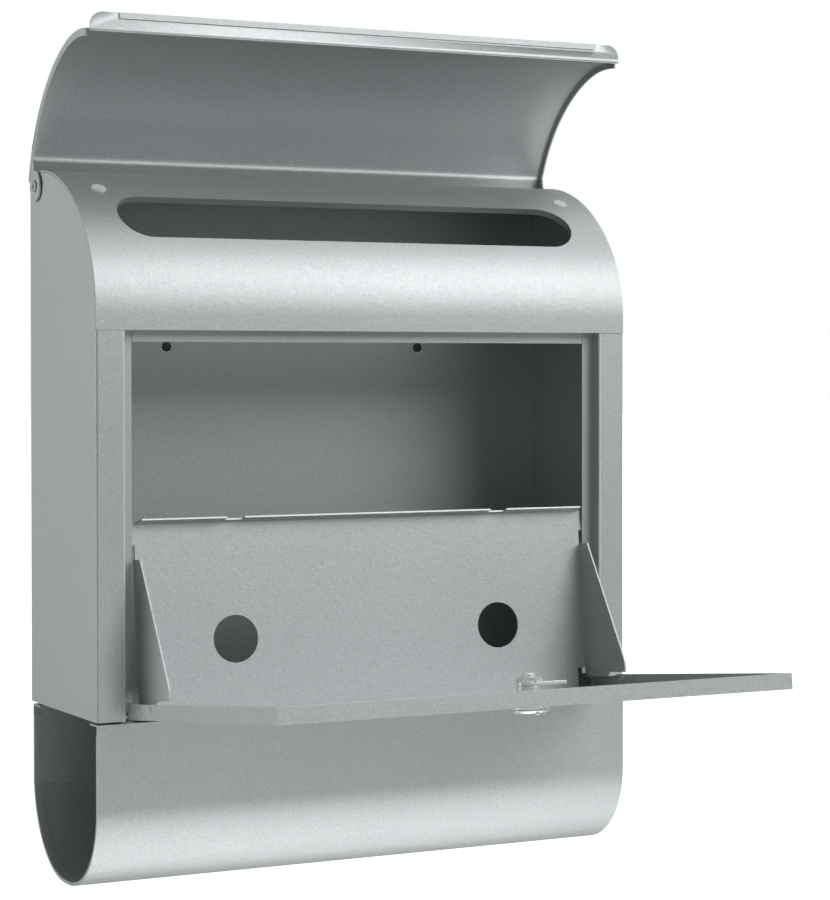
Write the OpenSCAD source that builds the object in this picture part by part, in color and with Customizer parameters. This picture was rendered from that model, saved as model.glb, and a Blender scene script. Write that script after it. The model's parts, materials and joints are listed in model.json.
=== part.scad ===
// Wall mounted mailbox with a drop-down door, a curved slot lid and a newspaper holder.
// Sheet steel, riveted. All lengths are millimetres.
// Origin: centre of the wall screw pattern, on the back face that lies against the wall.
// +Z is up, the front faces -Y. The door and the lid are drawn standing open.

/* [Casing] */
// Outside width of the casing
width = 360; // [290:1:460]
// Outside depth, front face to wall
depth = 122; // [116:1:160]
// Height of the casing at the top of the hood
height = 332; // [325:1:420]
// Height of the seam between the front frame and the hood
seam_height = 232; // [200:1:236]
// Thickness of every sheet
sheet = 1.0; // [0.8:0.1:1.2]
// Width of the front frame beside the door
frame_strip = 18; // [14:0.5:26]
// Distance from the front face back to the stop lips
jamb_depth = 9.7; // [8.5:0.1:14]
// Reach of the stop lips into the opening
lip_reach = 7.3; // [5:0.1:9]
// Height at which the side lips end above the floor
lip_foot = 10; // [8:0.5:20]

/* [Hood] */
// Radius of the upper part of the hood curve
hood_top_radius = 112; // [100:1:118]
// Radius of the front part of the hood curve
hood_front_radius = 75; // [60:1:90]
// Angle at which the two hood radii meet
hood_split = 36; // [25:1:45]
// Length of the letter slot
slot_length = 312; // [220:1:330]
// Height of the letter slot, measured over the curve
slot_height = 38; // [28:1:42]
// Place of the slot's centre line, as an angle on the hood curve
slot_angle = 47.2; // [44:0.1:52]
// Depth of the rim turned in round the slot
rim_depth = 4.5; // [3.5:0.1:8]

/* [Lid] */
// Angle the lid stands open, where its rear edge comes down on the hood
lid_open = 74; // [60:0.5:88]
// Distance of the lid pivot from the wall
lid_pivot_inset = 13.3; // [12.8:0.1:18]
// Height of the lid pivot below the hood's top
lid_pivot_drop = 9.4; // [9:0.1:10.5]
// Gap between the hood and the closed lid
lid_gap = 2.3; // [1.5:0.1:2.6]
// Gap between each casing side and the lid flange
lid_side_gap = 0.6; // [0.4:0.1:1.2]
// Depth of the flange along the lid's sides
lid_flange = 4.6; // [4:0.1:9]
// Radius of the lid's pivot ears
lid_ear_radius = 9.5; // [8:0.1:10.5]
// Length of the finger lip along the lid's free edge
finger_lip = 11.4; // [7:0.1:14]
// Angle between the finger lip and the horizontal when the lid is closed
lip_lean = 17.5; // [5:0.5:25]

/* [Door] */
// Angle the door stands open, where the tray meets the stop lips
door_open = 84; // [0:1:84]
// Gap between door and frame at each side
door_side_gap = 1.3; // [1:0.1:2.5]
// Gap between the closed door and the hood
door_top_gap = 1.0; // [0.8:0.1:2.5]
// Distance of the hinge pins behind the closed door's face
hinge_inset = 2.6; // [2.6:0.1:3.4]
// Height of the hinge pins above the casing's underside
hinge_height = 3.04; // [2.9:0.01:4]
// Distance from the hinge pins up to the closed door's lower edge
hinge_to_door = 2.64; // [2.6:0.01:3.4]

/* [Mail tray] */
// Gap between the closed tray's flange and the back panel
tray_back_gap = 2.3; // [1:0.1:4]
// Radius of the access holes in the tray
access_hole_radius = 14.5; // [8:0.5:20]
// Distance of the access holes from the door's face
access_hole_reach = 44.7; // [35:0.1:60]
// Distance of the side cheeks inside the frame opening
cheek_inset = 8.5; // [8.3:0.1:12]

/* [Fasteners] */
// Spacing of the wall screw holes, sideways
wall_hole_spacing_x = 180; // [120:1:260]
// Spacing of the wall screw holes, up and down
wall_hole_spacing_z = 180; // [120:1:182]
// Height of the lower wall screw holes
wall_hole_height = 43; // [36:1:48]
// Radius of the wall screw holes
wall_hole_radius = 3.25; // [2.5:0.05:4.5]

/* [Newspaper holder] */
// Height of the newspaper holder below the casing
holder_drop = 104.3; // [90:0.1:140]
// Gap between the casing and the holder
holder_gap = 1.4; // [1:0.1:3]
// Radius of the holder's front bend
holder_front_bend = 52; // [30:1:54]
// Radius of the holder's back bend
holder_back_bend = 60; // [30:1:60]

/* [Lock] */
// Distance of the lock from the door's free edge
lock_from_edge = 21.5; // [18:0.1:23]
// Reach of the cam from the lock's axis
cam_reach = 20.5; // [20:0.1:22]

/* [Hidden] */
$fn = 64;
eps = 0.02;                       // overlap used only inside one fused piece
run_fit = 0.06;                   // radial clearance of turning fits
snug = 0.1;                       // slack between pieces of one assembly
seam = 0.3;                       // gap between neighbouring sheets
t = sheet;
fold = 1.3;                       // outside radius of the side sheets' folds
// hood curve: two arcs that meet without a corner
split_cos = cos(hood_split);
split_sin = sin(hood_split);
arc_step = hood_top_radius - hood_front_radius;
top_cy = hood_front_radius + arc_step * split_cos;
top_cz = height - hood_top_radius;
front_cy = hood_front_radius;
front_cz = top_cz + arc_step * split_sin;
// frame opening
lip_edge = frame_strip + lip_reach;
lip_back = jamb_depth + t;
header_lip = 6.8;
// floor: front edge, and the notches round the jambs and hinge eyes
floor_front = hinge_inset - 0.4;
strip_in = frame_strip - t - snug;
notch_x = frame_strip + 8;
notch_y = lip_back + snug;
// door
door_x = frame_strip + door_side_gap;
door_w = width - 2 * door_x;
door_z = hinge_height + hinge_to_door;
door_l = seam_height - door_top_gap - door_z;
door_flange = jamb_depth - 0.4;
// mail tray, in the closed door's directions: y is its reach, z its height
plate_top = door_z - 0.5;
plate_bottom = plate_top - t;
cheek_x = frame_strip + cheek_inset;
cheek_in = cheek_x + t;
shelf_y = jamb_depth - 0.4 - t;
arm_x = door_x + t;
rivet_y = shelf_y - 2.1;
rivet_heights = [16, 36];
arm_rivet = 1.6;
hinge_pin = 1.2;
arm_foot = door_z - seam;
relief = 14.3;                    // where the cheeks begin behind the shelf
door_stop = 84;                   // angle at which the tray's ears meet the stop lips
open_sin = sin(door_stop);
open_cos = cos(door_stop);
ear_start = (lip_back + 0.3 - hinge_inset * (1 - open_cos) + open_sin * (plate_top - hinge_height))
    / open_cos;
ear_x = lip_edge - 2.3;
relief_start = ear_start - 8.7;
cheek_foot = 11;
flange_bend = 76;
flange_length = 8.6;
tray_reach = depth - t - tray_back_gap - (flange_length + t) * cos(flange_bend);
cheek_depth = 50;
// lid
lid_py = depth - lid_pivot_inset;
lid_pz = height - lid_pivot_drop;
lid_rivet = 2.5;
// rear edge of the lid's sheet, a seam's gap above the hood once the lid is open
lid_back = lid_py - (lid_pivot_drop + seam - (lid_pivot_drop + lid_gap) * cos(lid_open))
    / sin(lid_open);
lid_end = 5.3;                    // angle on the front arc where the lid sheet ends
lip_corner = 8;
lip_inset = 0.5;                  // reach of the lip past the casing's sides
lip_relief = 4;                   // angle over which the fold's ends are cut back
lip_hem = 3.6;
lip_hem_x = 17.5;
// pads under the lid
pad_angle = 61;
pad_x = 19.4;
pad_radius = 4.7;
// newspaper holder
holder_y = depth - 3;
holder_top = -holder_gap;
holder_bottom = -holder_drop;
hem = 4.7;
holder_flange = 13;
holder_rivet = 2;
rivet_x = 40;
rivet_front = 7;
rivet_back = depth - 10;
// wall holes
mount_z = wall_hole_height + wall_hole_spacing_z / 2;
hole_left = (width - wall_hole_spacing_x) / 2;
// lock
lock_x = width / 2;
lock_z = door_z + door_l - lock_from_edge;
lock_flange = 10.5;
lock_body = 7.5;
plug_radius = 6;
plug_tail = 4;
cam_y = lip_back + 0.5;
cam_thick = 2;
cap_radius = 10.1;
cap_pivot = 7.5;

// ---------- helpers ----------

// casing corner coordinates (x from the left side, y from the front, z from the underside)
module frame() translate([-width / 2, -depth, -mount_z]) children();

// the door's pieces, drawn closed, swung open about the hinge pins
module on_door()
    frame()
    translate([0, hinge_inset, hinge_height]) rotate([door_open, 0, 0])
    translate([0, -hinge_inset, -hinge_height]) children();

// the lid, drawn closed, swung up about its rivets
module on_lid()
    frame()
    translate([0, lid_py, lid_pz]) rotate([-lid_open, 0, 0])
    translate([0, -lid_py, -lid_pz]) children();

// a flat (y, z) outline drawn out along x
module along_x(x, len) translate([x, 0, 0]) rotate([90, 0, 90]) linear_extrude(len) children();

// a rod along x
module rod_x(x, y, z, r, len) translate([x, y, z]) rotate([0, 90, 0]) cylinder(r = r, h = len);

// a rod along y
module rod_y(x, y, z, r, len) translate([x, y, z]) rotate([-90, 0, 0]) cylinder(r = r, h = len);

// the same piece on both sides
module both_sides() { children(); translate([width, 0, 0]) mirror([1, 0, 0]) children(); }

// area under the hood curve, grown outward by d and cut off at y_to
module hood_area(d, y_to) {
    difference() {
        union() {
            // upper arc
            intersection() {
                translate([top_cy, top_cz]) circle(r = hood_top_radius + d);
                polygon([[top_cy, top_cz], [top_cy, top_cz + 300],
                    [top_cy - 300, top_cz + 300 * split_sin / split_cos]]);
            }
            // front arc; it lies inside the upper one past the split
            intersection() {
                translate([front_cy, front_cz]) circle(r = hood_front_radius + d);
                polygon([[front_cy, front_cz], [front_cy, front_cz + 300],
                    [front_cy - 300, front_cz + 300], [front_cy - 300, front_cz]]);
            }
            // below the arcs and behind them
            polygon([[-d, 0], [-d, front_cz], [front_cy, front_cz], [top_cy, top_cz],
                [top_cy, height + d], [2 * depth, height + d], [2 * depth, 0]]);
        }
        translate([y_to, -1]) square([2 * depth, height + 100]);
    }
}

// strip of the hood curve between two offsets
module hood_band(d_out, d_in, y_to) {
    difference() {
        hood_area(d_out, y_to);
        hood_area(d_in, y_to + 1);
    }
}

// slot outline, centred
module obround(len, high) {
    square([len - high, high], center = true);
    translate([-(len - high) / 2, 0]) circle(d = high);
    translate([(len - high) / 2, 0]) circle(d = high);
}

// local directions of the slot: x along it, z out of the hood
module at_slot()
    translate([width / 2, top_cy - hood_top_radius * cos(slot_angle),
        top_cz + hood_top_radius * sin(slot_angle)])
    rotate([90 - slot_angle, 0, 0]) children();

// ---------- casing ----------

module back_panel() color([0.66, 0.69, 0.69]) frame()
    difference() {
        translate([t, depth - t, 0]) cube([width - 2 * t, t, height - t]);
        for (x = [hole_left, width - hole_left],
             z = [wall_hole_height, wall_hole_height + wall_hole_spacing_z])
            rod_y(x, depth - t - 1, z, wall_hole_radius, t + 2);
    }

// side wall, front strip and jamb seen from above, with rounded folds
module side_folds() {
    difference() {
        union() {
            difference() {
                square([frame_strip, depth]);
                square([fold, fold]);
                translate([frame_strip - fold, -1]) square([fold + 1, fold + 1]);
            }
            for (x = [fold, frame_strip - fold]) translate([x, fold]) circle(r = fold);
        }
        translate([t, t]) square([frame_strip - 2 * t, depth]);
        translate([frame_strip - t - 1, lip_back]) square([t + 2, depth]);
    }
}

// side wall, front strip, jamb and stop lip folded from one sheet
module side_sheet() {
    difference() {
        union() {
            along_x(0, t) intersection() {
                hood_area(-t - seam, depth);
                translate([0, seam_height - seam - eps]) square([depth, height]);
            }
            linear_extrude(seam_height - seam) side_folds();
            translate([frame_strip - t, jamb_depth, lip_foot])
                cube([lip_reach + t, t, seam_height - seam - lip_foot]);
        }
        rod_x(-1, lid_py, lid_pz, lid_rivet + snug, t + 2);
        rod_x(frame_strip - t - 1, hinge_inset, hinge_height, hinge_pin + snug / 2, t + 2);
    }
}

module left_side() color([0.66, 0.69, 0.69]) frame() side_sheet();

module right_side() color([0.66, 0.69, 0.69]) frame()
    translate([width, 0, 0]) mirror([1, 0, 0]) side_sheet();

module hood() color([0.74, 0.77, 0.77]) frame() {
    difference() {
        union() {
            along_x(0, width) difference() {
                hood_band(0, -t, depth);
                translate([-10, -10]) square([depth, seam_height + 10]);
            }
            // rim turned in round the slot
            intersection() {
                at_slot() translate([0, 0, -2 * rim_depth]) linear_extrude(4 * rim_depth)
                    obround(slot_length + 2 * t, slot_height + 2 * t);
                along_x(t + 1, width - 2 * t - 2) hood_band(0, -rim_depth, depth);
            }
        }
        at_slot() translate([0, 0, -3 * rim_depth]) linear_extrude(6 * rim_depth)
            obround(slot_length, slot_height);
    }
    // folded return over the door and its stop lip
    translate([frame_strip, 0, seam_height]) cube([width - 2 * frame_strip, lip_back, t]);
    translate([lip_edge + seam, jamb_depth, seam_height - header_lip])
        cube([width - 2 * (lip_edge + seam), t, header_lip + t]);
}

module floor_panel() color([0.62, 0.65, 0.65]) frame()
    difference() {
        linear_extrude(t) polygon([[t, t], [strip_in, t], [strip_in, notch_y], [notch_x, notch_y],
            [notch_x, floor_front], [width - notch_x, floor_front], [width - notch_x, notch_y],
            [width - strip_in, notch_y], [width - strip_in, t], [width - t, t],
            [width - t, depth - t], [t, depth - t]]);
        for (x = [rivet_x, width - rivet_x], y = [rivet_front, rivet_back])
            translate([x, y, -1]) cylinder(r = holder_rivet + snug, h = t + 2);
    }

// ---------- newspaper holder ----------

// area inside the holder's outline, shrunk by d
module holder_area(d) {
    difference() {
        union() {
            translate([d, holder_bottom + holder_front_bend])
                square([holder_y - 2 * d, -holder_bottom - holder_front_bend + holder_top]);
            translate([holder_front_bend, holder_bottom + d])
                square([holder_y - holder_front_bend - holder_back_bend,
                    holder_front_bend]);
            translate([holder_front_bend, holder_bottom + holder_front_bend])
                circle(r = holder_front_bend - d);
            difference() {
                translate([holder_y - holder_back_bend, holder_bottom + d])
                    square([holder_back_bend - d, holder_drop / 1.2]);
                translate([holder_y - holder_back_bend, holder_bottom]) difference() {
                    square([holder_back_bend + 1, holder_back_bend]);
                    translate([0, holder_back_bend]) circle(r = holder_back_bend - d);
                }
            }
        }
        translate([-10, holder_top]) square([depth + 40, 200]);
    }
}

module newspaper_holder() color([0.70, 0.73, 0.73]) frame()
    difference() {
        union() {
            along_x(0, width) difference() { holder_area(0); holder_area(t); }
            // safe edge folded back at both open ends
            for (x = [0, width - hem]) along_x(x, hem) difference() {
                holder_area(t - eps);
                holder_area(2 * t);
                translate([0, holder_top - 6.5]) square([holder_y, 20]);
            }
            // flanges under the casing floor
            translate([0, 0, holder_top - t]) cube([width, holder_flange, t]);
            translate([0, holder_y - holder_flange, holder_top - t])
                cube([width, holder_flange, t]);
        }
        for (x = [rivet_x, width - rivet_x], y = [rivet_front, rivet_back])
            translate([x, y, holder_top - 5]) cylinder(r = holder_rivet + snug, h = 10);
    }

module holder_rivets() color([0.62, 0.64, 0.66]) frame()
    for (x = [rivet_x, width - rivet_x], y = [rivet_front, rivet_back])
        translate([x, y, 0]) difference() {
            union() {
                translate([0, 0, holder_top - t - 0.9]) cylinder(r = 3, h = 0.9);
                translate([0, 0, holder_top - t - 0.5])
                    cylinder(r = holder_rivet, h = 1 + 2 * t + holder_gap);
                translate([0, 0, t]) cylinder(r = 3.6, h = 1.1);
            }
            translate([0, 0, holder_top - t - 1.5]) cylinder(r = 1.2, h = 2);
        }

module holder_washers() color([0.55, 0.57, 0.6]) frame()
    for (x = [rivet_x, width - rivet_x], y = [rivet_front, rivet_back])
        translate([x, y, holder_top]) difference() {
            cylinder(r = 4.8, h = holder_gap);
            translate([0, 0, -1]) cylinder(r = holder_rivet + snug, h = holder_gap + 2);
        }

// ---------- small casing pieces ----------

// clear domed pads on which the lid comes down
module bumper_pads() color([0.85, 0.88, 0.88, 0.6]) frame() both_sides()
    translate([pad_x, top_cy - hood_top_radius * cos(pad_angle),
        top_cz + hood_top_radius * sin(pad_angle)])
    rotate([90 - pad_angle, 0, 0]) rotate_extrude() intersection() {
        translate([0, -eps]) square([pad_radius, lid_gap]);
        translate([0, lid_gap - 0.3 - 2 * pad_radius]) circle(r = 2 * pad_radius);
    }

// semi-tubular rivets the lid turns on
module lid_rivets() color([0.62, 0.64, 0.66]) frame() both_sides() {
    x_out = -lid_side_gap - t - 0.1;
    difference() {
        union() {
            rod_x(x_out - 1.1, lid_py, lid_pz, lid_rivet, t + 2.1 - x_out);
            rod_x(x_out - 1.2, lid_py, lid_pz, 3.8, 1.2);
            rod_x(t, lid_py, lid_pz, 4, 1);
        }
        rod_x(x_out - 2, lid_py, lid_pz, 1.5, 3.4);
    }
}

module lid_washers() color([0.3, 0.31, 0.32]) frame() both_sides()
    difference() {
        rod_x(-lid_side_gap + 0.1, lid_py, lid_pz, 5, lid_side_gap - 0.1);
        rod_x(-lid_side_gap - 1, lid_py, lid_pz, lid_rivet + run_fit, lid_side_gap + 2);
    }

// pins riveted through the jambs, the door hangs on them
module hinge_pins() color([0.55, 0.57, 0.6]) frame() both_sides() {
    rod_x(frame_strip - t - 0.8, hinge_inset, hinge_height, hinge_pin + seam, 0.8);
    rod_x(frame_strip - t - 0.4, hinge_inset, hinge_height, hinge_pin,
        3 * t + 0.4 + door_side_gap + seam);
    rod_x(arm_x + t + 0.15, hinge_inset, hinge_height, 1.8, 0.8);
}

// ---------- lid ----------

// everything below a given angle on the front arc
module below_arc(a)
    polygon([[front_cy, front_cz], [front_cy - 400 * cos(a), front_cz + 400 * sin(a)],
        [front_cy - 400, front_cz - 500], [500, -100], [500, front_cz]]);

module lid() color([0.62, 0.65, 0.65]) on_lid() {
    x_out = -lid_side_gap - t;
    end_y = front_cy - (hood_front_radius + lid_gap) * cos(lid_end);
    end_z = front_cz + (hood_front_radius + lid_gap) * sin(lid_end);
    // curved top sheet, relieved at both ends of the lip's fold
    difference() {
        along_x(x_out, width - 2 * x_out) difference() {
            hood_band(lid_gap + t, lid_gap, lid_back);
            below_arc(lid_end);
        }
        both_sides() along_x(x_out - 1, 1 - lip_inset - x_out) below_arc(lid_end + lip_relief);
    }
    // finger lip with its folded edge
    translate([0, end_y, end_z]) rotate([-lip_lean, 0, 0]) {
        difference() {
            translate([-lip_inset, -finger_lip, 0])
                cube([width + 2 * lip_inset, finger_lip + 0.2, t]);
            for (m = [0, 1]) translate([m * width, 0, 0]) mirror([m, 0, 0])
                translate([-lip_inset, -finger_lip, -1]) difference() {
                    translate([-1, -1, 0]) cube([lip_corner + 1, lip_corner + 1, t + 2]);
                    translate([lip_corner, lip_corner, -1]) cylinder(r = lip_corner, h = t + 4);
                }
        }
        translate([lip_hem_x, -finger_lip, -0.8]) cube([width - 2 * lip_hem_x, lip_hem, 0.8 + eps]);
    }
    // side flanges with the pivot ears
    both_sides() difference() {
        along_x(x_out, t) union() {
            difference() {
                hood_band(lid_gap + t, lid_gap + t - lid_flange, lid_py);
                below_arc(lid_end + lip_relief);
            }
            translate([lid_py, lid_pz]) circle(r = lid_ear_radius);
            polygon([[lid_py - 24, height + lid_gap + t - lid_flange], [lid_py - 24, height + lid_gap],
                [lid_py, height + lid_gap + t], [lid_py, lid_pz],
                [lid_py - lid_ear_radius * cos(25), lid_pz + lid_ear_radius * sin(25)],
                [lid_py - 14, lid_pz + 6.6]]);
        }
        rod_x(x_out - 1, lid_py, lid_pz, lid_rivet + run_fit, t + 2);
    }
}

// ---------- door ----------

module door_panel() color([0.68, 0.71, 0.71]) on_door()
    difference() {
        union() {
            translate([door_x, 0, door_z]) cube([door_w, t, door_l]);
            both_sides() translate([door_x, 0, door_z]) cube([t, door_flange, door_l]);
            translate([door_x, 0, door_z + door_l - t]) cube([door_w, door_flange, t]);
        }
        rod_y(lock_x, -1, lock_z, lock_body + snug, t + 2);
        both_sides() for (s = rivet_heights)
            rod_x(door_x - 1, rivet_y, door_z + s, arm_rivet + snug, t + 2);
    }

// outline of the tray plate, x across and y into the casing
module plate_outline() {
    difference() {
        polygon([[cheek_in + 5.5, 0.2], [cheek_in + 5.5, relief], [cheek_x, relief],
            [cheek_x, relief_start], [cheek_in, relief_start], [cheek_in, ear_start], [ear_x, ear_start],
            [ear_x, ear_start + 3.5], [ear_x + 2.8, tray_reach], [width - ear_x - 2.8, tray_reach],
            [width - ear_x, ear_start + 3.5], [width - ear_x, ear_start], [width - cheek_in, ear_start],
            [width - cheek_in, relief_start], [width - cheek_x, relief_start],
            [width - cheek_x, relief], [width - cheek_in - 5.5, relief],
            [width - cheek_in - 5.5, 0.2]]);
        for (x = [hole_left, width - hole_left])
            translate([x, access_hole_reach]) circle(r = access_hole_radius);
    }
}

// outline of a cheek, y into the casing and z up the door
module cheek_outline()
    polygon([[relief, plate_bottom], [relief_start, plate_bottom], [relief_start, door_z + 9.8],
        [21, door_z + cheek_depth - 1.5], [16.8, door_z + cheek_depth],
        [cheek_foot, door_z + cheek_depth - 0.4], [cheek_foot, door_z + 30.5],
        [10.2, door_z + 28.6], [shelf_y, door_z + 28], [shelf_y, door_z], [relief, door_z]]);

// plate, rear flange, cheeks and hinge arms folded from one sheet
module mail_tray() color([0.72, 0.75, 0.75]) on_door() {
    difference() {
        union() {
            translate([0, 0, plate_bottom]) linear_extrude(t) plate_outline();
            // rear flange, leaning back
            translate([0, tray_reach, plate_bottom]) rotate([flange_bend, 0, 0])
                translate([cheek_in + seam, 0, 0])
                cube([width - 2 * (cheek_in + seam), flange_length + t, t]);
        }
        // mitred flange ends
        both_sides() translate([cheek_in + seam, tray_reach, plate_bottom]) rotate([flange_bend, 0, 0])
            translate([0, 1.2, -1]) rotate([0, 0, -13]) translate([-8, 0, 0]) cube([8, 14, t + 2]);
        // shallow notches in the flange edge
        for (x = [hole_left, width - hole_left])
            translate([x, tray_reach, plate_bottom]) rotate([flange_bend, 0, 0])
            translate([-5.75, flange_length + t - 4, -1]) cube([11.5, 8, t + 2]);
    }
    both_sides() {
        along_x(cheek_x, t) cheek_outline();
        // step out to the arm
        translate([arm_x, shelf_y, arm_foot]) cube([cheek_in - arm_x, t, 28 + seam]);
        // arm along the door's side flange, with the hinge eye
        difference() {
            union() {
                translate([arm_x, t + snug, arm_foot]) cube([t, shelf_y - snug, 47]);
                rod_x(arm_x, hinge_inset, hinge_height, 2.35, t);
                translate([arm_x, hinge_inset - 2.35, hinge_height])
                    cube([t, 4.7, arm_foot - hinge_height + eps]);
                translate([arm_x, t + snug, door_z - 1.6]) cube([t, shelf_y - snug, 1.4]);
            }
            rod_x(arm_x - 1, hinge_inset, hinge_height, hinge_pin + run_fit, t + 2);
            for (s = rivet_heights)
                rod_x(arm_x - 1, rivet_y, door_z + s, arm_rivet + snug, t + 2);
        }
    }
}

module tray_rivets() color([0.58, 0.6, 0.62]) on_door() both_sides() for (s = rivet_heights) {
    rod_x(door_x - 0.5, rivet_y, door_z + s, 2.9, 0.5);
    rod_x(door_x - 0.2, rivet_y, door_z + s, arm_rivet, 2 * t + 0.4);
    difference() {
        rod_x(arm_x + t, rivet_y, door_z + s, 2, 0.9);
        rod_x(arm_x + t + 0.2, rivet_y, door_z + s, 1.1, 2);
    }
}

// ---------- lock ----------

// local directions of the lock: z out of the door's back, y down the door
module at_lock() on_door() translate([lock_x, 0, lock_z]) rotate([-90, 0, 0]) children();

module lock_housing() color([0.78, 0.79, 0.8]) at_lock() difference() {
    union() {
        translate([0, 0, -1.6]) cylinder(r = lock_flange, h = 1.6);
        translate([0, 0, -0.2]) cylinder(r = lock_body, h = cam_y - 0.1);
    }
    translate([0, 0, -3]) cylinder(r = plug_radius + run_fit, h = cam_y + 6);
    translate([0, -cap_pivot, -3]) cylinder(r = 1 + snug / 2, h = 2.4);
}

module lock_nut() color([0.7, 0.71, 0.72]) at_lock() difference() {
    translate([0, 0, t]) cylinder(r = 10.6, h = 2.8, $fn = 6);
    translate([0, 0, t - 1]) cylinder(r = lock_body + snug / 2, h = 6);
}

// keyed barrel with its threaded tail
module lock_plug() color([0.72, 0.73, 0.74]) at_lock() difference() {
    union() {
        translate([0, 0, -1.6]) cylinder(r = plug_radius, h = cam_y + 1.5);
        translate([0, 0, cam_y - 0.2]) cylinder(r = plug_tail, h = cam_thick + 5.2);
    }
    translate([-0.9, -3.6, -2]) cube([1.8, 7.2, 8]);
}

module lock_cam() color([0.76, 0.77, 0.78]) at_lock()
    translate([0, 0, cam_y]) linear_extrude(cam_thick) difference() {
        union() {
            circle(r = 7.2);
            polygon([[0, -7.2], [cam_reach - 8, -6], [cam_reach, -6], [cam_reach, 6],
                [cam_reach - 8, 6], [0, 7.2]]);
        }
        circle(r = plug_tail + snug / 2);
    }

module cam_washer() color([0.8, 0.81, 0.82]) at_lock() translate([0, 0, cam_y + cam_thick])
    difference() {
        cylinder(r = 7, h = 0.8);
        translate([0, 0, -1]) cylinder(r = plug_tail + snug / 2, h = 3);
    }

module cam_nut() color([0.8, 0.81, 0.82]) at_lock() translate([0, 0, cam_y + cam_thick + 0.8])
    difference() {
        cylinder(r = 7.5, h = 3.5, $fn = 6);
        translate([0, 0, -1]) cylinder(r = plug_tail + snug / 2, h = 6);
    }

module cap_rivet() color([0.8, 0.81, 0.82]) at_lock() translate([0, -cap_pivot, 0]) {
    translate([0, 0, -4.2]) cylinder(r = 1, h = 3.4);
    translate([0, 0, -4.8]) cylinder(r = 1.7, h = 0.6 + snug);
}

// cover over the keyhole, hung on the rivet
module dust_cap() color([0.86, 0.87, 0.88]) at_lock() difference() {
    translate([0, 0, -3.9]) cylinder(r = cap_radius, h = 2);
    translate([0, -cap_pivot, -5]) cylinder(r = 1 + run_fit, h = 6);
}

back_panel();
left_side();
right_side();
hood();
floor_panel();
newspaper_holder();
holder_rivets();
holder_washers();
bumper_pads();
lid_rivets();
lid_washers();
hinge_pins();
lid();
door_panel();
mail_tray();
tray_rivets();
lock_housing();
lock_nut();
lock_plug();
lock_cam();
cam_washer();
cam_nut();
cap_rivet();
dust_cap();
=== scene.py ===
import json
import math

import bpy
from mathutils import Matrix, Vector

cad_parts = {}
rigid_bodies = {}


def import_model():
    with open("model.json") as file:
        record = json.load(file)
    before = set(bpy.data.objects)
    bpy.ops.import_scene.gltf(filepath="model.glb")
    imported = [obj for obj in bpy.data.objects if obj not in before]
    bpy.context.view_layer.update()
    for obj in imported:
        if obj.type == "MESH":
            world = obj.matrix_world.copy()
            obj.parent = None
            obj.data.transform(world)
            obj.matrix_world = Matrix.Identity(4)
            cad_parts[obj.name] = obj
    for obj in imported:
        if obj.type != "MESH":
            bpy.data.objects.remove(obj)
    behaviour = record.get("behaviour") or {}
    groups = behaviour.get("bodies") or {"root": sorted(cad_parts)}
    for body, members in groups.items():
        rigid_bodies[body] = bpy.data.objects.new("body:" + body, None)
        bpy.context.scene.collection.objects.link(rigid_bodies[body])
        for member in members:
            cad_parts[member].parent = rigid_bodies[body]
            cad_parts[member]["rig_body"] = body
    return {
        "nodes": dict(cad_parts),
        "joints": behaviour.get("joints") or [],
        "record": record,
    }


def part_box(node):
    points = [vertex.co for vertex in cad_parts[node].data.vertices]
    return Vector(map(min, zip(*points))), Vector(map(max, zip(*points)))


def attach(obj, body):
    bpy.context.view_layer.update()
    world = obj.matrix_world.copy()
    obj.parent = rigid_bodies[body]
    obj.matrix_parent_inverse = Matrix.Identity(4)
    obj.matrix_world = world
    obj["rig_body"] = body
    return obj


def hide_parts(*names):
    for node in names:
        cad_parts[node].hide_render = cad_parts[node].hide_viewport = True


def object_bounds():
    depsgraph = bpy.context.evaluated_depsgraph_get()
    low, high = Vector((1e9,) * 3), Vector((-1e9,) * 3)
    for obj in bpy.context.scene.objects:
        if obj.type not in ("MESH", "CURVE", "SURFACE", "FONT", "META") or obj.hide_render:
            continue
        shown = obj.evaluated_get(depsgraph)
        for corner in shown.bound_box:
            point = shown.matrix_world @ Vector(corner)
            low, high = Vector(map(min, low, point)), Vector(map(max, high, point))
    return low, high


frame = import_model()
cad_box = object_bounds()


# ---------------------------------------------------------------------------
# Room: a white floor that glows a little, white paper all round, and a grey
# studio that only the object sees. Of the four soft lamps, the strongest
# stands high on the right and lights the rolled hood.
# ---------------------------------------------------------------------------
scene = bpy.context.scene
scene.view_settings.view_transform = "Standard"
scene.view_settings.look = "None"

world = bpy.data.worlds.new("studio")
scene.world = world
world.use_nodes = True
studio = world.node_tree.nodes
paper = studio["Background"]
paper.inputs["Color"].default_value = (1.0, 1.0, 1.0, 1.0)
paper.inputs["Strength"].default_value = 1.0
room = studio.new("ShaderNodeBackground")
room.inputs["Color"].default_value = (0.975, 1.0, 1.0, 1.0)
room.inputs["Strength"].default_value = 0.31
ray = studio.new("ShaderNodeLightPath")
either = studio.new("ShaderNodeMixShader")
for source, output, entry in ((ray, "Is Camera Ray", 0), (room, 0, 1), (paper, 0, 2)):
    world.node_tree.links.new(source.outputs[output], either.inputs[entry])
world.node_tree.links.new(either.outputs[0], studio["World Output"].inputs["Surface"])

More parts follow.
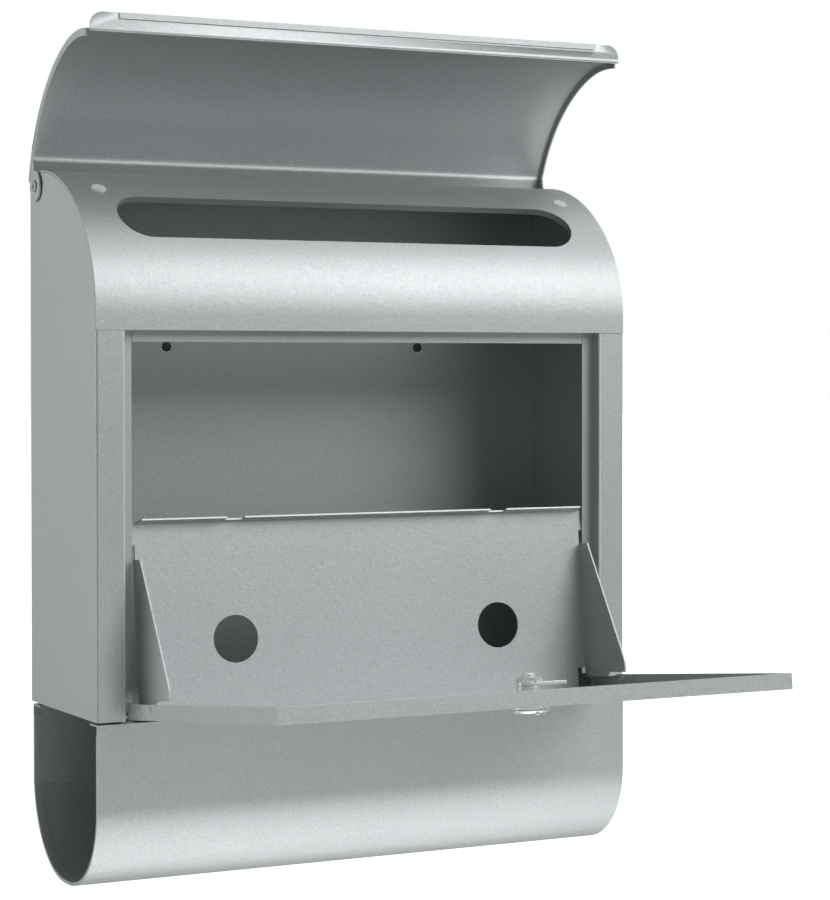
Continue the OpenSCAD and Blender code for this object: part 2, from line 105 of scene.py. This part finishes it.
floor_width = 80
floor_drop = 0.55
bpy.ops.mesh.primitive_plane_add(size=floor_width, location=(0, 0, cad_box[0].z - floor_drop))
floor = bpy.context.object
floor.name = "floor"
floor_paint = bpy.data.materials.new("floor_paint")
floor_paint.use_nodes = True
floor_shader = floor_paint.node_tree.nodes["Principled BSDF"].inputs
floor_shader["Base Color"].default_value = (0.95, 0.95, 0.95, 1)
floor_shader["Roughness"].default_value = 0.9
floor_shader["Emission Color"].default_value = (1, 1, 1, 1)
floor_shader["Emission Strength"].default_value = 1.0
floor.data.materials.append(floor_paint)
floor.visible_diffuse = False
floor.visible_glossy = False


def softbox(name, place, target, size, watts):
    """A large square lamp that faces the object."""
    bpy.ops.object.light_add(type="AREA", location=place)
    lamp = bpy.context.object
    lamp.name = name
    lamp.data.shape = "SQUARE"
    lamp.data.size = size
    lamp.data.energy = watts
    lamp.rotation_mode = "QUATERNION"
    lamp.rotation_quaternion = (Vector(place) - Vector(target)).to_track_quat("Z", "Y")


softbox("high_box", (0.95, -1.65, 1.2), (0, 0, 0), 1.4, 24)
softbox("top_box", (0.5, -0.1, 1.9), (0, 0, 0), 1.4, 8)
softbox("left_box", (-1.6, 1.0, 0.2), (0, 0, 0), 1.6, 9)
softbox("low_box", (0.05, -0.35, -0.78), (0, -0.1, -0.2), 1.3, 8)

camera_tilt = 0.849
camera_turn = 28.766
camera_data = bpy.data.cameras.new("camera")
camera_data.sensor_width = 36
camera_data.lens = 106.15
camera_data.shift_x = -0.1333
camera_data.shift_y = -0.05
camera = bpy.data.objects.new("camera", camera_data)
scene.collection.objects.link(camera)
camera.location = (-0.7048, -1.6140, 0.0778)
camera.rotation_euler = (math.radians(90 - camera_tilt), 0, -math.radians(camera_turn))
scene.camera = camera


# ---------------------------------------------------------------------------
# Back panel: a flat steel sheet with the four wall screw holes, joined to the
# side walls and the hood. It is powder coated like all the sheets, so the
# coat and the rounded edges with their painted highlight start here.
# ---------------------------------------------------------------------------
class Signal:
    """A shader value that can be used in ordinary sums and products."""

    def __init__(self, finish, socket):
        self.finish = finish
        self.socket = socket

    def maths(self, operation, first, second):
        return self.finish.add("ShaderNodeMath", {"operation": operation}, {0: first, 1: second})

    def __add__(self, other):
        return self.maths("ADD", self, other)

    def __mul__(self, other):
        return self.maths("MULTIPLY", self, other)

    __radd__ = __add__
    __rmul__ = __mul__


class Finish:
    """A material, with the one way in which its nodes are added."""

    def __init__(self, name):
        self.material = bpy.data.materials.new(name)
        self.material.use_nodes = True
        self.tree = self.material.node_tree
        self.shader = self.tree.nodes["Principled BSDF"]
        self.place = self.add("ShaderNodeTexCoord", {}, {}, "Object")

    def add(self, kind, settings, inputs, output=0):
        node = self.tree.nodes.new(kind)
        stops = settings.pop("stops", None)
        for key, value in settings.items():
            setattr(node, key, value)
        if stops:
            for element, (position, shade) in zip(node.color_ramp.elements, stops):
                element.position = position
                element.color = (shade, shade, shade, 1)
        for key, value in inputs.items():
            self.feed(node.inputs[key], value)
        return Signal(self, node.outputs[output])

    def feed(self, socket, value):
        if isinstance(value, Signal):
            self.tree.links.new(value.socket, socket)
        else:
            socket.default_value = value

    def noise(self, scale, detail):
        return self.add("ShaderNodeTexNoise", {}, {
            "Vector": self.place, "Scale": scale, "Detail": detail, "Roughness": 0.55}, "Fac")

    def ramp(self, value, low, high):
        """0 below low and 1 above high."""
        return self.add("ShaderNodeValToRGB", {"stops": ((low, 0), (high, 1))}, {"Fac": value})

    def blend(self, share, first, second):
        """One colour at share 0, the other at share 1."""
        colour_a, colour_b, colour_out = 6, 7, 2
        return self.add("ShaderNodeMix", {"data_type": "RGBA"}, {
            "Factor": share, colour_a: first, colour_b: second}, colour_out)

    def surface(self, values):
        """The finished material, with these values on its shader's sockets."""
        for name, value in values.items():
            self.feed(self.shader.inputs[name], value)
        return self.material

    def relief(self, height, depth):
        """A bump of this depth in metres."""
        return self.add("ShaderNodeBump", {}, {
            "Height": height, "Distance": depth, "Strength": 1.0}, "Normal")


def powder_coat(name, shade, gloss, metal):
    """Baked silver-grey powder: fine grains, a slight orange peel and faint clouds of tone."""
    coat = Finish(name)
    grains = coat.noise(900, 2)
    peel = coat.noise(330, 3)
    clouds = coat.noise(7, 3)
    light = tuple(min(1, 1.14 * c) for c in shade) + (1,)
    dark = tuple(0.86 * c for c in shade) + (1,)
    tone = coat.ramp(grains, 0.36, 0.64) * 0.6 + clouds * 0.4
    return coat.surface({
        "Base Color": coat.blend(tone, dark, light),
        "Metallic": metal,
        "Roughness": gloss + peel * 0.10 + grains * 0.06,
        "Normal": coat.relief(grains * 0.5 + peel, 0.00009),
    })


coat_finish = powder_coat("powder_coat", (0.495, 0.524, 0.527), 0.42, 0.8)
# The lighter coat given to the rounded edges is a painted highlight.
coat_edge_highlight = powder_coat("powder_coat_painted_edge_highlight", (0.93, 0.95, 0.95), 0.3, 0.45)


def edit(piece):
    """Opens a piece for editing with nothing selected."""
    bpy.ops.object.select_all(action="DESELECT")
    bpy.context.view_layer.objects.active = piece
    piece.select_set(True)
    bpy.ops.object.mode_set(mode="EDIT")


def apply(piece, kind, **settings):
    """Adds a modifier to a piece and applies it."""
    bpy.context.view_layer.objects.active = piece
    modifier = piece.modifiers.new(kind.lower(), kind)
    for key, value in settings.items():
        setattr(modifier, key, value)
    bpy.ops.object.modifier_apply(modifier=modifier.name)


def smooth(piece, degrees=35, weighted=True):
    """Smooth shading up to an angle; the weighted kind also keeps flat faces flat."""
    bpy.ops.object.select_all(action="DESELECT")
    bpy.context.view_layer.objects.active = piece
    piece.select_set(True)
    bpy.ops.object.shade_smooth_by_angle(angle=math.radians(degrees))
    if weighted:
        apply(piece, "WEIGHTED_NORMAL", keep_sharp=True, weight=100)


def worked(node, finish, edges, slot, edge, **shading):
    """A piece from its design, with its sharp edges rounded and given the second, lighter finish,
    a painted highlight.

    edge is the most that a rounding may measure, in mm. The clamp narrows the
    roundings of a piece to what its tightest spot allows, even to nothing.
    """
    weld = 0.002
    flat = math.radians(0.4)
    sharp = math.radians(38)
    body = frame["nodes"][node]["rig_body"]
    piece = bpy.data.objects.new(node + "_made", frame["nodes"][node].data.copy())
    scene.collection.objects.link(piece)
    edit(piece)
    bpy.ops.mesh.select_all(action="SELECT")
    bpy.ops.mesh.remove_doubles(threshold=weld / 1000)
    bpy.ops.mesh.dissolve_limited(angle_limit=flat)
    bpy.ops.object.mode_set(mode="OBJECT")
    piece.data.materials.clear()
    piece.data.materials.append(finish)
    piece.data.materials.append(edges)
    apply(piece, "BEVEL", width=edge / 1000, segments=2, limit_method="ANGLE",
          angle_limit=sharp, use_clamp_overlap=True, material=1)
    smooth(piece, **shading)
    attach(piece, body)
    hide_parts(node)
    return piece


def coated(node, edge=0.28, **shading):
    """A powder-coated sheet."""
    return worked(node, coat_finish, coat_edge_highlight, "powder_coat", edge, **shading)


coated("back_panel")

# ---------------------------------------------------------------------------
# Side walls: side, front strip, jamb and stop lip folded from one sheet each.
# The fold beside the door also gets the lighter edge coat, a painted highlight.
# ---------------------------------------------------------------------------
lip_end = abs(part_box("left_side")[1].x)
jamb_reach = 0.012                # the jamb's fold lies within this of the stop lip's end
slanted = 0.08                    # least share of X and of Y in a fold's normal
level = 0.1                       # most share of Z in it, as the folds stand upright
for node in ("left_side", "right_side"):
    side = coated(node)
    for face in side.data.polygons:
        x, y, z = (abs(part) for part in face.normal)
        if min(x, y) > slanted and z < level and abs(face.center.x) < lip_end + jamb_reach:
            # These fold faces take the lighter edge coat, a painted highlight along the fold.
            face.material_index = 1

# ---------------------------------------------------------------------------
# Hood: one rolled sheet with the letter slot. The rim of the slot is turned
# in, and the front edge is folded back over the door as a header.
# ---------------------------------------------------------------------------
coated("hood", edge=0.45)

# ---------------------------------------------------------------------------
# Floor panel: the flat bottom sheet of the casing, notched beside the hinge
# eyes. The newspaper holder is riveted up to it.
# ---------------------------------------------------------------------------
coated("floor_panel")

# ---------------------------------------------------------------------------
# Newspaper holder: a sheet rolled into a trough and riveted under the floor.
# Both open ends have a safe edge folded back inside.
# ---------------------------------------------------------------------------
coated("newspaper_holder", edge=0.3)

# ---------------------------------------------------------------------------
# Lid: a rolled sheet with side flanges and pivot ears. The finger lip along
# its free edge has a hem, so that no cut edge is felt.
# ---------------------------------------------------------------------------
coated("lid", degrees=20, weighted=False)

# ---------------------------------------------------------------------------
# Door: a flat sheet with flanges on its sides and along its free edge. It
# hangs on the two hinge pins by the arms that are riveted to it.
# ---------------------------------------------------------------------------
coated("door_panel", edge=0.45)

# ---------------------------------------------------------------------------
# Mail tray: plate, cheeks and hinge arms folded from one sheet. It keeps the
# letters from sliding out, and its ears stop the door.
# ---------------------------------------------------------------------------
coated("mail_tray", edge=0.36)


# ---------------------------------------------------------------------------
# Rivets, pins and washers: zinc plated steel, slightly dulled. The rivets
# are hollow ones, rolled over at the head.
# ---------------------------------------------------------------------------
def plated(name, shade, gloss, metal):
    """Zinc plate: soft streaks, small stains and fine scratches."""
    zinc = Finish(name)
    stains = zinc.ramp(zinc.noise(260, 4), 0.42, 0.68)
    scratches = zinc.noise(2400, 2)
    light = tuple(min(1, 1.05 * c) for c in shade) + (1,)
    dark = tuple(0.80 * c for c in shade) + (1,)
    return zinc.surface({
        "Base Color": zinc.blend(stains * 0.7 + scratches * 0.2, light, dark),
        "Metallic": metal,
        "Roughness": gloss + stains * 0.12 + scratches * 0.05,
        "Normal": zinc.relief(scratches + stains * 0.6, 0.00003),
    })


rivet_finish = plated("dull_zinc", (0.50, 0.51, 0.52), 0.38, 0.85)
# The lighter zinc on the rounded edges of rivets, pins and washers is a painted highlight.
rivet_edge_highlight = plated("dull_zinc_painted_edge_highlight", (0.74, 0.75, 0.76), 0.3, 0.85)
for node in ("lid_washers", "hinge_pins", "holder_rivets", "holder_washers", "tray_rivets"):
    worked(node, rivet_finish, rivet_edge_highlight, "rivet_steel", 0.15)


def settle(piece, place, axis, finish, body, nodes=()):
    """Turns a piece made along Z to its axis, puts it in its place and gives it its finish."""
    piece.rotation_mode = "QUATERNION"
    piece.rotation_quaternion = Vector(axis).to_track_quat("Z", "Y")
    piece.location = place
    bpy.ops.object.select_all(action="DESELECT")
    bpy.context.view_layer.objects.active = piece
    piece.select_set(True)
    bpy.ops.object.transform_apply(location=True, rotation=True, scale=True)
    piece.data.materials.clear()
    piece.data.materials.append(finish)
    smooth(piece)
    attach(piece, body)
    if nodes:
        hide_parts(*nodes)


def turned(name, start, steps, points=48):
    """A turned piece along Z: a disc raised, narrowed and widened step by step, in mm."""
    bpy.ops.mesh.primitive_circle_add(vertices=points, radius=start / 1000, fill_type="NGON")
    piece = bpy.context.object
    piece.name = name
    edit(piece)
    bpy.ops.mesh.select_all(action="SELECT")
    radius = start
    for rise, wider in steps:
        bpy.ops.mesh.extrude_region_move(TRANSFORM_OT_translate={"value": (0, 0, rise / 1000)})
        if wider != radius:
            bpy.ops.transform.resize(value=(wider / radius, wider / radius, 1))
            radius = wider
    bpy.ops.mesh.select_all(action="SELECT")
    bpy.ops.mesh.remove_doubles(threshold=0.000001)
    bpy.ops.mesh.normals_make_consistent(inside=False)
    bpy.ops.object.mode_set(mode="OBJECT")
    return piece


def joint(name):
    """The frame's record of a joint."""
    return next(entry for entry in frame["joints"] if entry["name"] == name)


# The lid's rivets, from the clenched end inside to the hollow head outside.
rivet_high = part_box("lid_rivets")[1]
lid_hinge = joint("lid_hinge")["pos_m"]
head = 1.2
clench = 1.0
inner_end = 178                   # mm from the middle of the mailbox to a rivet's clenched end
shank = (rivet_high.x * 1000 - inner_end) - clench - head
for side, name in ((-1, "lid_rivet_left"), (1, "lid_rivet_right")):
    rivet = turned(name, 3.5, (
        (0.2, 4.0), (0.5, 4.0), (0.3, 3.5), (0.0, 2.5), (shank, 2.5), (0.0, 3.3), (0.15, 3.75),
        (0.3, 3.8), (0.35, 3.6), (0.25, 3.1), (0.15, 2.6), (-0.1, 2.1), (-0.35, 1.7), (-0.6, 1.5),
        (-2.0, 1.5), (-0.3, 0.9)))
    settle(rivet, (side * inner_end / 1000, lid_hinge[1], lid_hinge[2]), (side, 0, 0),
           rivet_finish, "casing", ["lid_rivets"])

# ---------------------------------------------------------------------------
# Cam lock: a bright plated barrel held by a thin nut, with its keyed plug,
# the cam, and the washer and nut that hold the cam on the threaded tail.
# ---------------------------------------------------------------------------
bright_finish = plated("bright_zinc", (0.94, 0.95, 0.95), 0.2, 0.62)
# The still lighter zinc on the lock parts' rounded edges is a painted highlight.
lock_edge_highlight = plated("bright_zinc_painted_edge_highlight", (0.98, 0.98, 0.98), 0.16, 0.35)
for node in ("lock_housing", "lock_cam", "cam_washer"):
    worked(node, bright_finish, lock_edge_highlight, "lock_zinc", 0.22)

lock_face = Vector(joint("lock_turn")["pos_m"])
inward = -Vector(joint("lock_turn")["axis"])


def beside(node):
    """How far a node's near and far ends lie from the door's face along the lock's axis, in mm."""
    corners = frame["nodes"][node].data.vertices
    ends = [(corner.co - lock_face).dot(inward) * 1000 for corner in corners]
    return min(ends), max(ends)


def cut_with(piece, cutter, way):
    """Cuts a piece by, or to, a second shape and removes that shape."""
    apply(piece, "BOOLEAN", object=cutter, operation=way, solver="EXACT")
    bpy.data.objects.remove(cutter, do_unlink=True)


def hex_nut(node, corner, bore, name):
    """A nut: a hexagon whose corners are turned down at both ends, with a threaded bore."""
    near_end, far_end = beside(node)
    thick = far_end - near_end
    bpy.ops.mesh.primitive_cylinder_add(vertices=6, radius=corner / 1000, depth=thick / 1000,
                                        location=(0, 0, thick / 2000))
    nut = bpy.context.object
    nut.name = name
    cone = corner * 0.86
    turned_down, full = thick * 0.16, thick * 0.68
    rim = turned("rim", cone, ((turned_down, corner), (full, corner), (turned_down, cone)))
    cut_with(nut, rim, "INTERSECT")
    pitch = thick / 5
    mouth = bore + 0.5
    outside = 0.5
    countersink = 0.4
    thread = [(outside, mouth), (countersink, bore)]
    for turn in range(4):
        thread += [(pitch / 2, bore + 0.25), (pitch / 2, bore)]
    drill = turned("drill", mouth, thread + [(countersink, mouth), (outside, mouth)])
    drill.location.z = -outside / 1000
    cut_with(nut, drill, "DIFFERENCE")
    apply(nut, "BEVEL", width=0.00012, segments=2, limit_method="ANGLE",
          angle_limit=math.radians(40))
    settle(nut, lock_face + inward * (near_end / 1000), inward, bright_finish,
           frame["nodes"][node]["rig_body"], [node])


hex_nut("cam_nut", 7.5, 4.05, "cam_hex_nut")
hex_nut("lock_nut", 10.6, 7.55, "lock_hex_nut")

plug_start, plug_end = beside("lock_plug")
tail = 7.2
thread_turns = 9
plug_radius = 6.0
thread_top, thread_root = 4.0, 3.6
bevel = 0.3
barrel = plug_end - plug_start - tail - bevel
steps = [(bevel, plug_radius), (barrel, plug_radius), (0.0, thread_root)]
for turn in range(thread_turns):
    steps += [(tail / thread_turns / 2, thread_top), (tail / thread_turns / 2, thread_root)]
plug = turned("keyed_plug", plug_radius - bevel, steps + [(0.0, 3.2)])
keyway_middle = 0.003
keyway_size = (0.0018, 0.0072, 0.0076)
bpy.ops.mesh.primitive_cube_add(size=1, location=(0, 0, keyway_middle))
keyway = bpy.context.object
keyway.scale = keyway_size
bpy.ops.object.transform_apply(location=False, rotation=False, scale=True)
cut_with(plug, keyway, "DIFFERENCE")
settle(plug, lock_face + inward * (plug_start / 1000), inward, bright_finish, "lock",
       ["lock_plug"])

# ---------------------------------------------------------------------------
# Dust cap: a turned disc with a bevelled rim that hangs over the keyhole. It
# swings on a small domed rivet pressed into the lock's front.
# ---------------------------------------------------------------------------
cap_near, cap_far = beside("dust_cap")
rim_and_ring = 0.95
cap_rise = cap_far - cap_near - rim_and_ring
cap = turned("bevelled_dust_cap", 9.8, (
    (0.15, 10.1), (0.55, 10.1), (0.15, 9.9), (cap_rise, 8.2), (0.1, 7.9), (-0.12, 7.4),
    (0.0, 2.0), (0.12, 1.6)), points=64)
rivet_place = Vector(joint("cap_swing")["pos_m"])
outward = -inward
upright = outward.to_track_quat("Z", "Y").inverted()
pin_hole = 0.00106
bpy.ops.mesh.primitive_cylinder_add(vertices=24, radius=pin_hole, depth=0.01,
                                    location=upright @ (rivet_place - lock_face))
cut_with(cap, bpy.context.object, "DIFFERENCE")
settle(cap, lock_face + inward * (cap_far / 1000), outward, bright_finish, "cap",
       ["dust_cap"])

rivet_near, rivet_far = beside("cap_rivet")
tip_and_dome = 0.8
pin_shank = rivet_far - rivet_near - tip_and_dome
pin = turned("cap_pin", 0.8, (
    (0.2, 1.0), (pin_shank, 1.0), (0.0, 1.5), (0.12, 1.7), (0.18, 1.6), (0.15, 1.2),
    (0.1, 0.6)), points=32)
pin_depth = (rivet_far - (rivet_place - lock_face).dot(inward) * 1000) / 1000
settle(pin, rivet_place + inward * pin_depth, outward, bright_finish,
       frame["nodes"]["cap_rivet"]["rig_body"], ["cap_rivet"])

# ---------------------------------------------------------------------------
# Bumper pads: clear soft plastic domes, one near each end of the letter slot.
# They are stuck to the hood, for the lid to land on.
# ---------------------------------------------------------------------------
pad = Finish("clear_pad")
haze = pad.noise(500, 3)
# The opacity rises towards the dome's rim, so the pale plastic shows a light rim there: a painted
# rim highlight over the real clearness and haze.
rim = pad.add("ShaderNodeLayerWeight", {}, {"Blend": 0.35}, "Facing")
pad_finish = pad.surface({
    "Base Color": pad.blend(haze, (0.86, 0.89, 0.89, 1), (0.97, 0.99, 0.99, 1)),
    "Roughness": 0.06 + haze * 0.12,
    "Alpha": 0.22 + haze * 0.1 + rim * 0.6,
    "Normal": pad.relief(haze, 0.00005),
})
pad_up = math.radians(61)         # angle on the hood's top bend at which the pads sit
pad_axis = Vector((0, -math.cos(pad_up), math.sin(pad_up)))
pad_along = Vector((0, math.sin(pad_up), math.cos(pad_up)))
pad_points = [corner.co for corner in frame["nodes"]["bumper_pads"].data.vertices]
across_pad = [point.x for point in pad_points if point.x > 0]
along_pad = [point.dot(pad_along) for point in pad_points]
pad_foot = (pad_axis * min(point.dot(pad_axis) for point in pad_points)
            + pad_along * (min(along_pad) + max(along_pad)) / 2)
for side, name in ((-1, "bumper_pad_left"), (1, "bumper_pad_right")):
    bumper = turned(name, 4.5, (
        (0.2, 4.7), (0.7, 4.7), (0.4, 4.55), (0.35, 4.1), (0.2, 3.4), (0.1, 2.6), (-0.12, 1.9),
        (-0.1, 0.9)))
    pad_foot.x = side * (min(across_pad) + max(across_pad)) / 2
    settle(bumper, pad_foot, pad_axis, pad_finish, "casing", ["bumper_pads"])

# ---------------------------------------------------------------------------
# Hole plugs: black domed buttons pressed into the wall screw holes from
# inside, a dark fill that paints the shade inside the holes.
# ---------------------------------------------------------------------------
hole_shade = Finish("painted_hole_shade")
bloom = hole_shade.noise(300, 4)
# The black of these buttons is painted shade for the inside of the screw holes.
hole_shade_finish = hole_shade.surface({
    "Base Color": hole_shade.blend(bloom, (0.012, 0.012, 0.013, 1), (0.035, 0.036, 0.038, 1)),
    "Roughness": 0.38 + bloom * 0.2,
    "Normal": hole_shade.relief(bloom, 0.00004),
})
mounts = frame["record"]["mounts"]
wall_holes = next(mount for mount in mounts if mount["name"] == "wall_holes")["dims"]
across = wall_holes["spacing_x_mm"] / 2000
up = wall_holes["spacing_y_mm"] / 2000
fill = wall_holes["hole_r_mm"] - 0.05
off_wall = 0.0001
places = ((-across, up), (across, up), (-across, -up), (across, -up))
for number, (x, z) in enumerate(places, start=1):
    hole_fill = turned("hole_shade_fill_%d" % number, fill - 0.4, (
        (0.3, fill), (0.55, fill), (0.25, fill - 0.15), (0.2, fill - 0.6), (0.15, fill - 1.3),
        (0.05, 0.8)))
    settle(hole_fill, (x, -off_wall, z), (0, -1, 0), hole_shade_finish, "casing")
